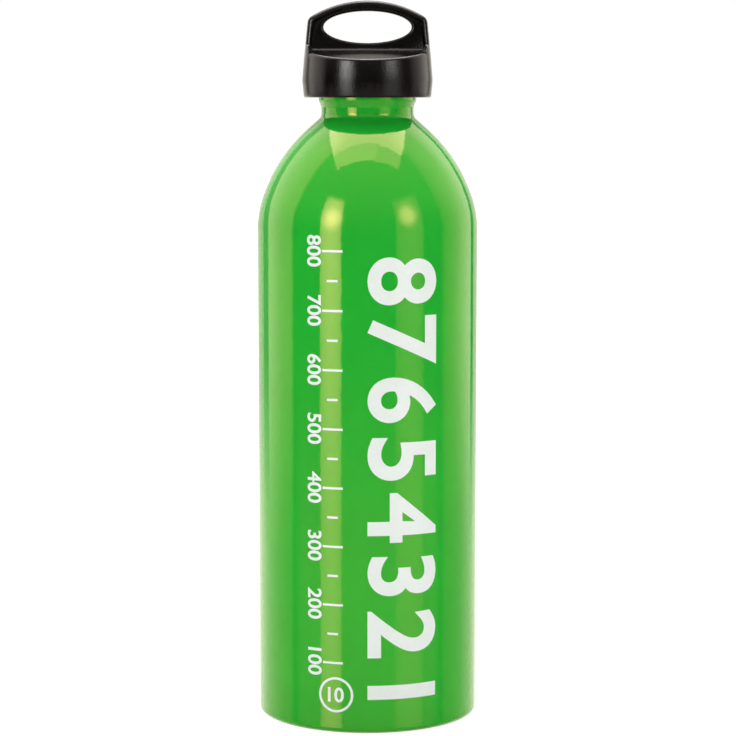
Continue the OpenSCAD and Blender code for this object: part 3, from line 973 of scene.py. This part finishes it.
def widen(shape, width):
    """Moves the outline of flat faces outwards by a width, its corners too."""
    # limits how far a pointed corner moves, and the size under which a face is a sliver
    pointed, sliver = 0.4, 1e-3 * width * width
    outward = {}
    for edge in shape.edges:
        if len(edge.link_faces) != 1:
            continue
        a, b = (v.co for v in edge.verts)
        along = (b - a).normalized()
        away = (a + b) / 2 - edge.link_faces[0].calc_center_median()
        away = (away - along * away.dot(along)).normalized()
        for vertex in edge.verts:
            outward.setdefault(vertex, []).append(away)
    for vertex, sides in outward.items():
        if len(sides) == 2:
            vertex.co += (sides[0] + sides[1]) * width / max(pointed, 1 + sides[0].dot(sides[1]))
    # slivers that the move has turned over lie under their neighbours
    for face in shape.faces:
        face.normal_update()
    turned = [f for f in shape.faces if f.normal.z <= 0 or f.calc_area() < sliver]
    bmesh.ops.delete(shape, geom=turned, context="FACES")


def cut_fine(mesh):
    """Cuts the faces of a flat figure so that it bends round the wall."""
    widest = 1.2 * MM
    with Editing(mesh) as shape:
        bmesh.ops.triangulate(shape, faces=shape.faces)
        for _ in range(6):
            coarse = [e for e in shape.edges if abs(e.verts[0].co.x - e.verts[1].co.x) > widest]
            if not coarse:
                break
            bmesh.ops.subdivide_edges(shape, edges=coarse, cuts=1)
            bmesh.ops.triangulate(shape, faces=shape.faces)
    return mesh


def figure_mesh(text, height, turn):
    """A flat bold figure's faces, cut fine enough to bend, with its middle at the origin."""
    # a figure's height as a share of the built-in font's size, and the share of it in which points are merged
    font_share, merge_share = 0.73, 0.008
    curve = bpy.data.curves.new("figure", "FONT")
    curve.body = text
    curve.size = height * MM / font_share
    curve.resolution_u = 8
    obj = mesh_object("figure", curve)
    graph = bpy.context.evaluated_depsgraph_get()
    mesh = bpy.data.meshes.new_from_object(obj.evaluated_get(graph), depsgraph=graph)
    bpy.data.curves.remove(taken(obj))
    with Editing(mesh) as shape:
        bmesh.ops.remove_doubles(shape, verts=shape.verts, dist=height * MM * merge_share)
        widen(shape, height * MM * sizes("print_sizes").bold)
    across = [v.co.x for v in mesh.vertices]
    up = [v.co.y for v in mesh.vertices]
    mesh.transform(Matrix.Translation((-(min(across) + max(across)) / 2, -(min(up) + max(up)) / 2, 0)))
    mesh.transform(Matrix.Scale(height * MM / (max(up) - min(up)), 4))
    mesh.transform(Matrix.Rotation(turn, 4, "Z"))
    return cut_fine(mesh)


def ring_mesh(radius, line, count=64):
    """A flat ring."""
    mesh = bpy.data.meshes.new("ring")
    turns = [FULL_TURN * i / count for i in range(count)]
    points = [(r * MM * math.cos(turn), r * MM * math.sin(turn), 0.0)
              for turn in turns for r in (radius - line, radius)]
    faces = [(2 * i, 2 * i + 1, (2 * i + 3) % (2 * count), (2 * i + 2) % (2 * count)) for i in range(count)]
    mesh.from_pydata(points, [], faces)
    return cut_fine(mesh)


def faced_out(mesh):
    """Turns every face of an open film on the wall outwards."""
    with Editing(mesh) as shape:
        for face in shape.faces:
            face.normal_update()
            middle = face.calc_center_median()
            if face.normal.dot(Vector((middle.x, middle.y, 0))) < 0:
                face.normal_flip()
    mesh.shade_smooth()


class FUELBOTTLE_OT_scale(bpy.types.Operator):
    """Print the white measuring scale up the front of the wall"""

    bl_idname = "fuel_bottle.scale"
    bl_label = "Measuring scale"

    def execute(self, context):
        p = sizes("print_sizes")
        ink = ink_finish()
        wall = BODY_BOX[1].x + p.proud * MM
        first, last = height_at(p.litres), height_at(p.litres * p.steps)
        step = (last - first) / (p.steps - 1)
        ticks = taken(grown("ticks", bpy.data.meshes.new("ticks"), ticks_tree(), {
            "Count": 2 * p.steps - 1, "Rise": step / 2 * MM, "First height": first * MM, "Every": 2,
            "Short": p.tick_short * MM, "Long": p.tick_long * MM, "Thickness": p.tick * MM, "Finish": ink}))
        wrapped(ticks, wall, p.tick_turn)
        parts = [ticks]

        def put(flat, turn, height):
            """Bends a flat figure round the wall at a bearing and a height in millimetres."""
            flat.transform(Matrix.Translation((0, height * MM, 0)))
            wrapped(flat, wall, turn)
            parts.append(flat)

        # the figures read from the top down
        down = math.radians(-90)
        for i in range(1, p.steps + 1):
            level = height_at(p.litres * i)
            put(figure_mesh(str(i), p.digit, down), p.digit_turn, level - step / 2)
            put(figure_mesh(str(round(p.litres * i * MILLILITRES)), p.small, down), p.small_turn, level)
        put(ring_mesh(p.badge, p.badge_line), p.badge_turn, p.badge_height)
        put(figure_mesh(str(p.badge_figure), p.badge * BADGE_SHARE, 0.0), p.badge_turn, p.badge_height)
        piece = joined("measuring_scale", parts, ink)
        faced_out(piece.data)
        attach(piece, "bottle")
        return {"FINISHED"}


# studio


# brightness of the studio round the bottle: bearing from the front in degrees, then brightness
LEFT_PANEL = (
    (83, 0.03), (86.5, 1.15), (101, 1.35), (115, 1.8), (126, 1.8), (128, 0.3), (139.5, 0.3), (141.5, 1.0))
RIGHT_PANEL = (
    (83, 0.03), (87, 0.5), (104, 1.0), (114, 1.5), (126, 1.8), (137, 1.7), (139, 0.1), (145, 0.1),
    (147.5, 1.0))
LEFT_TABLE = ((83, 0.0), (88, 0.5), (101, 0.7), (113, 0.95), (130, 1.25), (141, 1.5))
RIGHT_TABLE = ((83, 0.0), (90, 0.4), (104, 0.5), (114, 0.65), (126, 1.0), (150, 1.4))

# a strip lamp at each side of the camera: bearing in degrees, width in metres and the share of its brightness
# that is left at its foot, then the brightness, bearing and lift in degrees of its hot spot
STRIPS = {"left": (-38.5, 1.02, 0.45, 6.0, -37.5, 14.2), "right": (44.5, 1.38, 0.6, 4.5, 43.5, 17.2)}
# share of a strip's brightness that is lost at its sides
SIDE_LOSS = 0.42
# in metres: height of the strips and of their middles, size of the hot spots, the height that they look at,
# how far they hang in front of the strips, and half the floor's width
STRIP_HEIGHT = 3.0
STRIP_MIDDLE = 0.56
HOT_SPOT = (1.3, 1.5)
HOT_SPOT_TARGET = 0.16
HOT_SPOT_AHEAD = 0.1
FLOOR_REACH = 6.0


def floor_finish():
    """A pale floor that shows white to the camera and keeps the shadow."""
    look = Finish("pale floor", {"Base Color": (0.80, 0.80, 0.80, 1), "Roughness": 0.9,
                                 "Specular IOR Level": 0.1, "Emission Color": (1, 1, 1, 1)})
    seen = look.value("ShaderNodeLightPath", "Is Camera Ray") * sizes("studio_sizes").floor_white
    look.fill(look.shader.inputs["Emission Strength"], seen)
    return look.material


def profile(tree, bearing, stops):
    """Brightness along the bearing, straight between the stops."""
    node = tree.add("ShaderNodeValToRGB", {0: bearing / BACK})
    line = node.color_ramp
    for place, value in stops:
        line.elements.new(place / BACK).color = (value, value, value, 1)
    line.elements.remove(line.elements[0])
    line.elements.remove(line.elements[-1])
    return node.outputs["Color"]


def studio_world():
    """White paper behind the bottle, a panel at each side, a pale table below and a dim room in front."""
    s = sizes("studio_sizes")
    world = bpy.data.worlds.new("studio")
    bpy.context.scene.world = world
    world.use_nodes = True
    t = Tree(world.node_tree)
    t.nodes.clear()
    background = t.add("ShaderNodeBackground")
    t.fill(t.add("ShaderNodeOutputWorld").inputs["Surface"], background.outputs[0])
    x, y, z = t.split(t.value("ShaderNodeTexCoord", "Generated"))
    # bearing away from the front, 0 to 180 degrees at either side, and rise above the horizon
    degrees = 180 / math.pi
    bearing = t.math("ARCTAN2", t.math("ABSOLUTE", x), y * -1.0) * degrees
    rise = t.math("ARCSINE", z) * degrees
    up = t.math("MAXIMUM", rise, 0.0)
    right = t.step_up(x, -0.05, 0.05)
    # the panels lean back, so their far edges lie further round higher up, and end above
    place = bearing - up * s.panel_lean * t.step_up(bearing, 100.0, 125.0)
    upper = t.between(right, profile(t, place, LEFT_PANEL), profile(t, place, RIGHT_PANEL))
    upper = upper * (1.0 - t.step_up(rise, 58.0, 78.0))
    # the paper right behind the bottle is dimmer higher up
    dim = t.step_up(rise, 8.0, 18.0) * t.step_up(bearing, 155.0, 168.0)
    upper = upper * (1.0 - dim * s.paper_dim)
    lower = t.between(right, profile(t, bearing, LEFT_TABLE), profile(t, bearing, RIGHT_TABLE))
    lower = lower + (s.table - t.step_up(bearing, 70.0, 88.0) * s.table)
    below = t.step_up(rise * -1.0, 5.0, 11.0)
    # the ceiling glows more the higher it is, up to an angle
    full_glow = 55.0
    total = t.between(below, upper, lower) + t.math("MINIMUM", up, full_glow) * (s.ceiling / full_glow)
    # the panels are a little warm, and the camera itself sees plain white
    camera = t.value("ShaderNodeLightPath", "Is Camera Ray")
    tone = t.value("ShaderNodeMix", "Result", {"Factor": camera, "A": (*s.warm, 1), "B": (1, 1, 1, 1)},
                   data_type="RGBA")
    t.fill(background.inputs["Color"], tone)
    t.fill(background.inputs["Strength"], t.between(camera, total, 1.0))


def fading_round(t, x, y):
    """Brightest in the middle of the lamp and dark at its edge."""
    x, y = x - 0.5, y - 0.5
    return 1.0 - t.step_up(t.math("SQRT", x * x + y * y), 0.05, 0.5)


def fading_tall(foot):
    """Dimmer towards the lamp's sides, a share of its brightness at its foot and dark at its head."""
    def strength(t, x, y):
        """The share of its brightness at a place on the lamp."""
        across = (x - 0.5) * 2.0
        dome = 1.0 - across * across * SIDE_LOSS
        return dome * (t.step_up(y, 0.15, 0.35) * (1 - foot) + foot) * (1.0 - t.step_up(y, 0.9, 1.0))
    return strength


def softbox(name, place, target, size, radiance, fade=None):
    """A lamp turned towards a target. One that fades shows in the gloss only."""
    data = bpy.data.lights.new(name, "AREA")
    data.shape = "RECTANGLE"
    data.size, data.size_y = size
    data.energy = radiance * math.pi * size[0] * size[1]
    data.use_nodes = True
    if fade:
        t = Tree(data.node_tree)
        emission = next(n for n in t.nodes if n.type == "EMISSION")
        x, y, _ = t.split(t.value("ShaderNodeNewGeometry", "Parametric"))
        t.fill(emission.inputs["Strength"], fade(t, x, y))
    lamp = mesh_object(name, data)
    lamp.location = place
    lamp.rotation_euler = (Vector(target) - Vector(place)).to_track_quat("-Z", "Y").to_euler()
    lamp.visible_diffuse = fade is None
    return lamp


def around(bearing, distance, height):
    """A place at a bearing from the front, in degrees, and a height."""
    turn = math.radians(bearing)
    return Vector((distance * math.sin(turn), -distance * math.cos(turn), height))


class FUELBOTTLE_OT_studio(bpy.types.Operator):
    """Set the floor, the lamps and the camera"""

    bl_idname = "fuel_bottle.studio"
    bl_label = "Studio"

    def execute(self, context):
        s = sizes("studio_sizes")
        scene = context.scene
        mesh = bpy.data.meshes.new("floor")
        corners = [(x * FLOOR_REACH, y * FLOOR_REACH, 0) for x, y in ((-1, -1), (1, -1), (1, 1), (-1, 1))]
        mesh.from_pydata(corners, [], [(0, 1, 2, 3)])
        mesh.materials.append(floor_finish())
        floor = mesh_object("floor", mesh)
        floor.visible_glossy = False
        studio_world()
        for name, (bearing, width, foot, hot, hot_bearing, lift) in STRIPS.items():
            place = around(bearing, s.reach, STRIP_MIDDLE)
            softbox(name + " strip", place, (0, 0, place.z), (width, STRIP_HEIGHT), getattr(s, name),
                    fading_tall(foot))
            rise = s.reach * math.tan(math.radians(lift))
            softbox(name + " hot spot", around(hot_bearing, s.reach - HOT_SPOT_AHEAD, HOT_SPOT_TARGET + rise),
                    (0, 0, HOT_SPOT_TARGET), HOT_SPOT, hot, fading_round)
        # lamps that look straight down: place, size, brightness and fading
        for name, place, size, radiance, fade in (
                ("overhead", (0, 0.9, s.reach), (2.7, 2.5), s.top, None),
                ("hair light", (0, 0.35, s.reach - 0.2), (1.5, 0.9), s.hair, fading_round),
                ("left apron", (-0.85, -0.68, s.reach), (1.0, 0.66), 0.6 * s.top, None),
                ("right apron", (0.85, -0.68, s.reach), (1.0, 0.66), 0.42 * s.top, None),
                ("middle apron", (0, -0.68, s.reach), (0.7, 0.66), 0.6 * s.top, None)):
            softbox(name, place, (*place[:2], 0), size, radiance, fade)
        fill = softbox("front fill", (0, -3.2, 0.9), (0, 0, 0.12), (3.0, 2.4), s.fill)
        fill.visible_glossy = False
        data = bpy.data.cameras.new("front camera")
        data.sensor_width = 36.0
        data.lens = s.lens
        data.clip_start = 0.01
        camera = mesh_object("front camera", data)
        camera.location = (s.aside, -s.distance, s.height)
        camera.rotation_euler = (math.radians(90) - s.tilt, 0, 0)
        scene.camera = camera
        scene.view_settings.view_transform = "Standard"
        return {"FINISHED"}


# panel and run


class FUELBOTTLE_PT_panel(bpy.types.Panel):
    """Buttons and sizes of the fuel bottle"""

    bl_idname = "FUELBOTTLE_PT_panel"
    bl_label = "Fuel Bottle"
    bl_space_type = "VIEW_3D"
    bl_region_type = "UI"
    bl_category = "Fuel Bottle"

    def draw(self, context):
        for operator in OPERATORS:
            self.layout.operator(operator.bl_idname)
        for name in GROUPS:
            box = self.layout.box()
            group = getattr(context.scene, name)
            for key in group.__annotations__:
                box.prop(group, key)


GROUPS = {
    "bottle_sizes": BottleSizes,
    "thread_sizes": ThreadSizes,
    "spring_sizes": SpringSizes,
    "print_sizes": PrintSizes,
    "cap_looks": CapLooks,
    "studio_sizes": StudioSizes,
}
OPERATORS = (FUELBOTTLE_OT_body, FUELBOTTLE_OT_plug, FUELBOTTLE_OT_threads, FUELBOTTLE_OT_spring,
             FUELBOTTLE_OT_cap, FUELBOTTLE_OT_scale, FUELBOTTLE_OT_studio)


def register():
    """Registers the groups, the operators and the panel."""
    for name, group in GROUPS.items():
        bpy.utils.register_class(group)
        setattr(bpy.types.Scene, name, bpy.props.PointerProperty(type=group))
    for operator in OPERATORS:
        bpy.utils.register_class(operator)
    bpy.utils.register_class(FUELBOTTLE_PT_panel)


def unregister():
    """Takes them all away again."""
    bpy.utils.unregister_class(FUELBOTTLE_PT_panel)
    for operator in reversed(OPERATORS):
        bpy.utils.unregister_class(operator)
    for name, group in reversed(GROUPS.items()):
        delattr(bpy.types.Scene, name)
        bpy.utils.unregister_class(group)


def main():
    """Builds every piece and the studio."""
    register()
    for operator in OPERATORS:
        group, call = operator.bl_idname.split(".")
        getattr(getattr(bpy.ops, group), call)()


if __name__ == "__main__":
    main()
